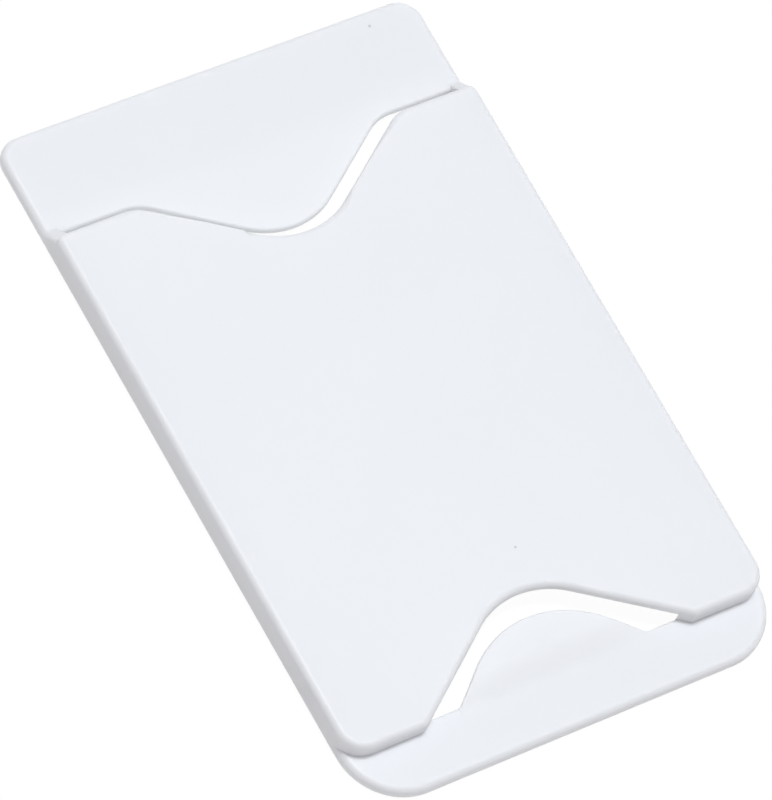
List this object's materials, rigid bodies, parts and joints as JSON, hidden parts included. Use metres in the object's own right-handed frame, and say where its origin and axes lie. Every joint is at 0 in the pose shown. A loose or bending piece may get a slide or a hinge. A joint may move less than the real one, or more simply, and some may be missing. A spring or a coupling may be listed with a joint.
{
  "type": "phone wallet card holder",
  "caption": "Hard-shell card holder for the back of a phone: a raised plate on two rails, with thumb notches, a spring tongue and a flat back.",
  "frame": {"origin": "centre of the holder's outline, on the plane of its back", "axes": "+Y along the holder, from the bottom tab to the top tab where the card goes in; +Z out of the front; +X to the right when seen from the front"},
  "size_m": [0.06, 0.0952, 0.004],
  "materials": {
    "white_plastic": "injection-moulded white polycarbonate with a fine satin texture"
  },
  "bodies": {
    "root": {"card_holder": "white_plastic"}
  },
  "joints": []
}
